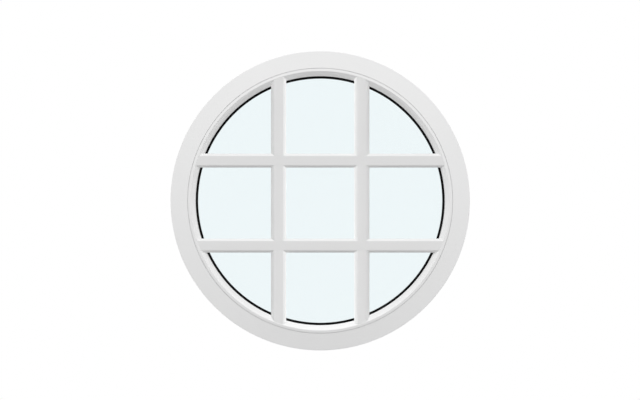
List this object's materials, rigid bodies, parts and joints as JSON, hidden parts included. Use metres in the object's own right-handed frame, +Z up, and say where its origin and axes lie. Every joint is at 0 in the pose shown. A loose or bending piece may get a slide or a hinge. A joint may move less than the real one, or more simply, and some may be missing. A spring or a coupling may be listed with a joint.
{
  "type": "round window",
  "caption": "Fixed round window: white hollow-section ring frame, clip-in glazing bead, insulating glass unit and a grid of bevelled glazing bars on both faces.",
  "frame": {"origin": "centre of the round window, halfway through the depth of its frame", "axes": "+Y runs through the window from the beaded room side (-Y) to the weather side (+Y), +Z is up, +X is to the right seen from the room side"},
  "size_m": [0.8, 0.06, 0.8],
  "materials": {
    "frame_plastic": "smooth white window plastic, satin gloss",
    "bar_plastic": "smooth white window plastic, satin gloss",
    "gasket_rubber": "black glazing rubber, matte",
    "pane_glass": "clear float glass with a pale blue cast",
    "spacer_metal": "mill aluminium with a fine perforated seam",
    "edge_sealant": "dark grey edge sealant",
    "packer_plastic": "moulded blue packers",
    "foam_tape": "white closed-cell foam tape",
    "cavity_bar_paint": "white painted aluminium"
  },
  "bodies": {
    "root": {"cavity_bar_left": "cavity_bar_paint", "cavity_bar_lower": "cavity_bar_paint", "cavity_bar_right": "cavity_bar_paint", "cavity_bar_upper": "cavity_bar_paint", "edge_seal": "edge_sealant", "front_bar_left_bottom": "bar_plastic", "front_bar_left_middle": "bar_plastic", "front_bar_left_top": "bar_plastic", "front_bar_lower": "bar_plastic", "front_bar_right_bottom": "bar_plastic", "front_bar_right_middle": "bar_plastic", "front_bar_right_top": "bar_plastic", "front_bar_tapes": "foam_tape", "front_bar_upper": "bar_plastic", "front_gasket": "gasket_rubber", "front_pane": "pane_glass", "glazing_bead_lower": "frame_plastic", "glazing_bead_upper": "frame_plastic", "location_block_left": "packer_plastic", "location_block_right": "packer_plastic", "location_block_top_left": "packer_plastic", "location_block_top_right": "packer_plastic", "outer_frame": "frame_plastic", "rear_bar_left_bottom": "bar_plastic", "rear_bar_left_middle": "bar_plastic", "rear_bar_left_top": "bar_plastic", "rear_bar_lower": "bar_plastic", "rear_bar_right_bottom": "bar_plastic", "rear_bar_right_middle": "bar_plastic", "rear_bar_right_top": "bar_plastic", "rear_bar_tapes": "foam_tape", "rear_bar_upper": "bar_plastic", "rear_gasket": "gasket_rubber", "rear_pane": "pane_glass", "setting_block_left": "packer_plastic", "setting_block_right": "packer_plastic", "spacer_ring": "spacer_metal"}
  },
  "joints": []
}
